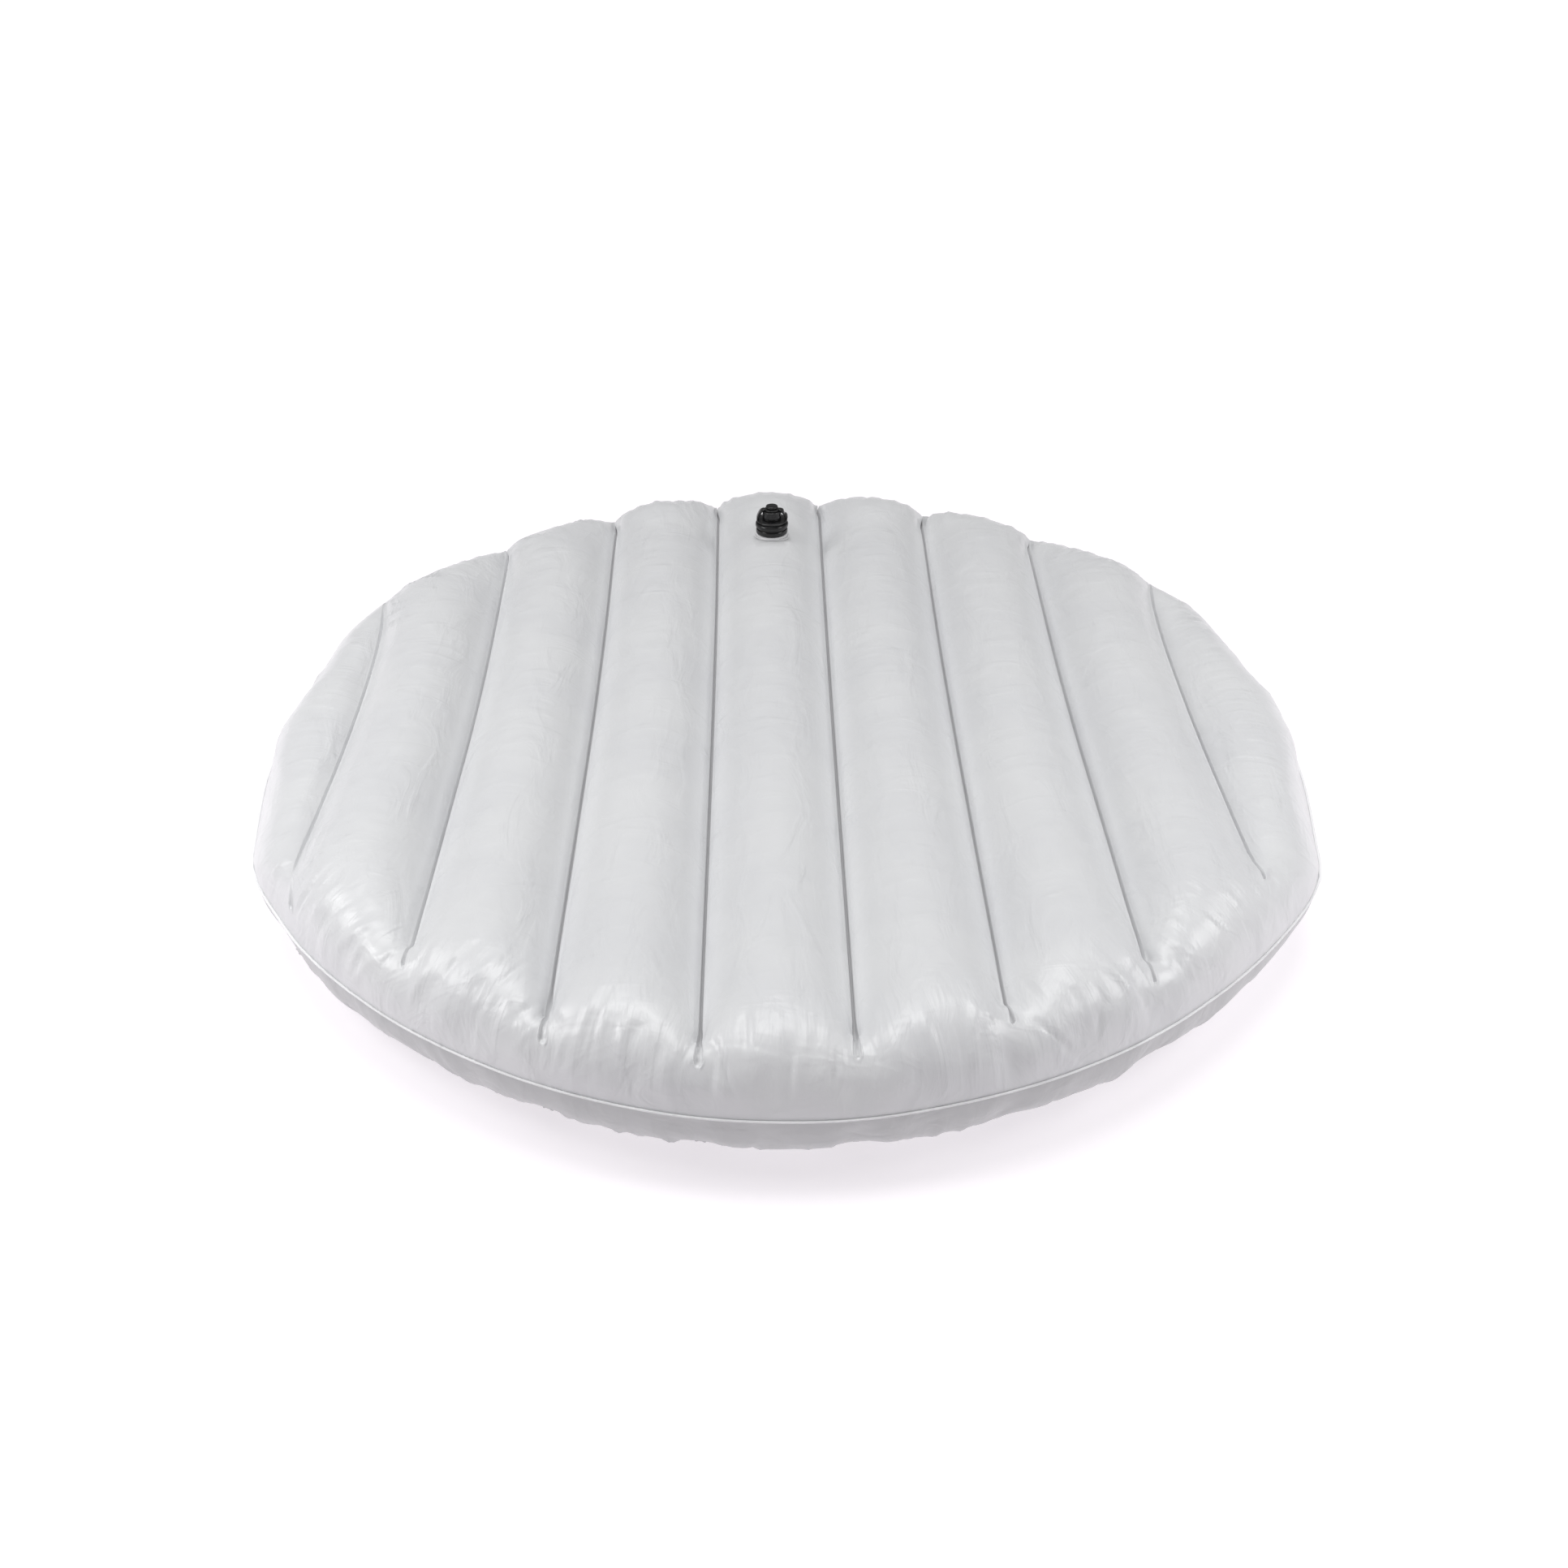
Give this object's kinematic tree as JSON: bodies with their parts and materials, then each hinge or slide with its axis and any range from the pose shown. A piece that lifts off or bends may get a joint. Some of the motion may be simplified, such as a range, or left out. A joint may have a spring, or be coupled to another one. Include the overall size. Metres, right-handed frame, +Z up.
{
  "type": "inflatable spa cover insert",
  "caption": "Round inflated PVC air cushion with parallel welded chambers and a screw valve; lies inside a spa cover to insulate it.",
  "frame": {"origin": "under the middle of the outline, on the surface that the cushion lies on", "axes": "+Z up, +Y along the chambers towards the valve, +X across the chambers"},
  "size_m": [1.3, 1.396, 0.2249],
  "materials": {
    "film": "satin silver-grey PVC film",
    "web_film": "matt reinforced PVC strip",
    "collar": "soft light grey PVC",
    "hard_black": "glossy black moulded plastic",
    "soft_black": "satin black flexible PVC",
    "seal": "matt black rubber"
  },
  "bodies": {
    "cushion": {"top_sheet": "film", "bottom_sheet": "film", "web_1": "web_film", "web_2": "web_film", "web_3": "web_film", "web_4": "web_film", "web_5": "web_film", "web_6": "web_film", "web_7": "web_film", "web_8": "web_film", "valve_collar": "collar", "valve_socket": "hard_black"},
    "body_leash": {"body_tether": "soft_black"},
    "valve_core": {"valve_body": "hard_black", "body_seal": "seal"},
    "flap": {"check_flap": "seal", "flap_stem": "soft_black"},
    "cap_leash": {"cap_tether": "soft_black", "cap_strap_left": "soft_black", "cap_strap_right": "soft_black"},
    "cap": {"valve_cap": "hard_black", "cap_loop": "soft_black", "cap_seal": "seal"}
  },
  "joints": [
    {"name": "body_turn", "type": "hinge", "parent": "cushion", "child": "body_leash", "pos_m": [-0.012, 0.472, 0.18046], "axis": [0, 0, 1], "range_deg": [0, 540]},
    {"name": "body_lift", "type": "slide", "parent": "body_leash", "child": "valve_core", "axis": [0, 0, 1], "range_m": [0, 0.006]},
    {"name": "flap_open", "type": "slide", "parent": "valve_core", "child": "flap", "axis": [0, 0, -1], "range_m": [0, 0.0028], "stiffness_N_per_m": 40, "springref_m": -0.002},
    {"name": "cap_turn", "type": "hinge", "parent": "valve_core", "child": "cap_leash", "pos_m": [-0.012, 0.472, 0.18046], "axis": [0, 0, 1], "range_deg": [0, 540]},
    {"name": "cap_lift", "type": "slide", "parent": "cap_leash", "child": "cap", "axis": [0, 0, 1], "range_m": [0, 0.0045], "deforming": ["cap_strap_left", "cap_strap_right"]}
  ],
  "couplings": [
    {"joint": "body_lift", "follows": "body_turn", "m_per_rad": 0.00063662},
    {"joint": "cap_lift", "follows": "cap_turn", "m_per_rad": 0.00047746}
  ]
}
